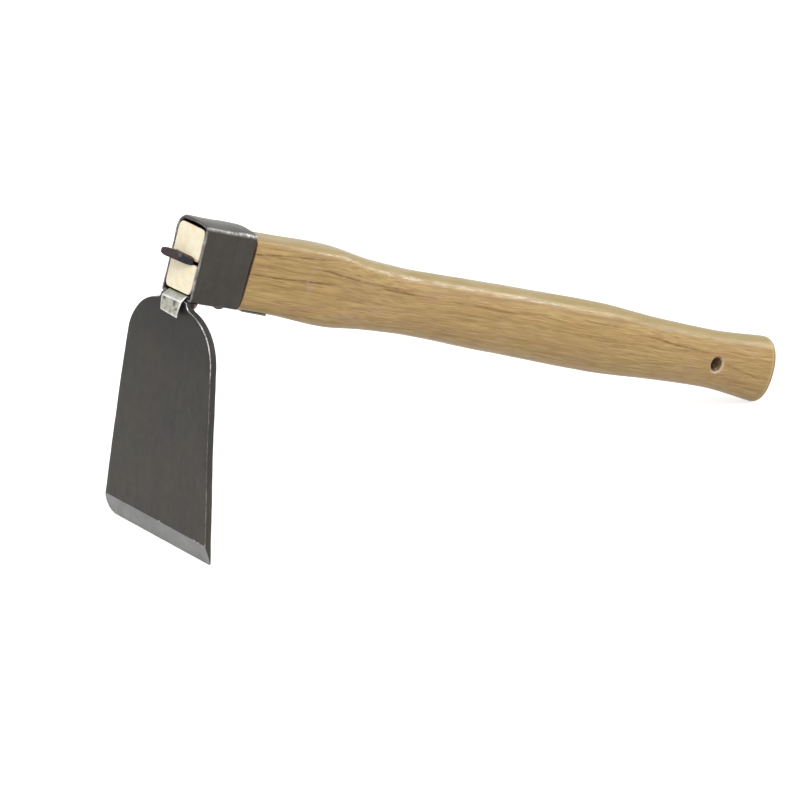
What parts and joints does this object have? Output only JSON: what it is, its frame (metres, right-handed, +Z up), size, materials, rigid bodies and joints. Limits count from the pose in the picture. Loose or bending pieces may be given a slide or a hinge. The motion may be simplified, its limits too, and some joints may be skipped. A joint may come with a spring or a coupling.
{
  "type": "hand hoe",
  "caption": "Short hand hoe with a ground steel blade welded under a rectangular steel collar, wedged on a shaped wooden handle with a hanging hole.",
  "frame": {"origin": "on the ground, under the centre of the bounding box, with the hoe standing on its cutting edge and its butt", "axes": "+X from the head to the butt of the handle, +Y across the blade, +Z up"},
  "size_m": [0.3582, 0.0744, 0.144],
  "materials": {
    "blackened_steel": "dark forge-blackened steel, satin",
    "bright_strip": "bare bent steel strip, slightly dull",
    "weld_bead": "rough weld bead, oxidised",
    "rough_iron": "hammered iron with brown oxide",
    "lacquered_wood": "light hardwood under clear lacquer, end grain bare at the tenon"
  },
  "bodies": {
    "root": {"blade": "blackened_steel", "eye_collar": "blackened_steel", "neck_weld": "weld_bead", "seam_weld": "weld_bead", "keeper_strip": "bright_strip", "wedge": "rough_iron", "wood_handle": "lacquered_wood"}
  },
  "joints": []
}
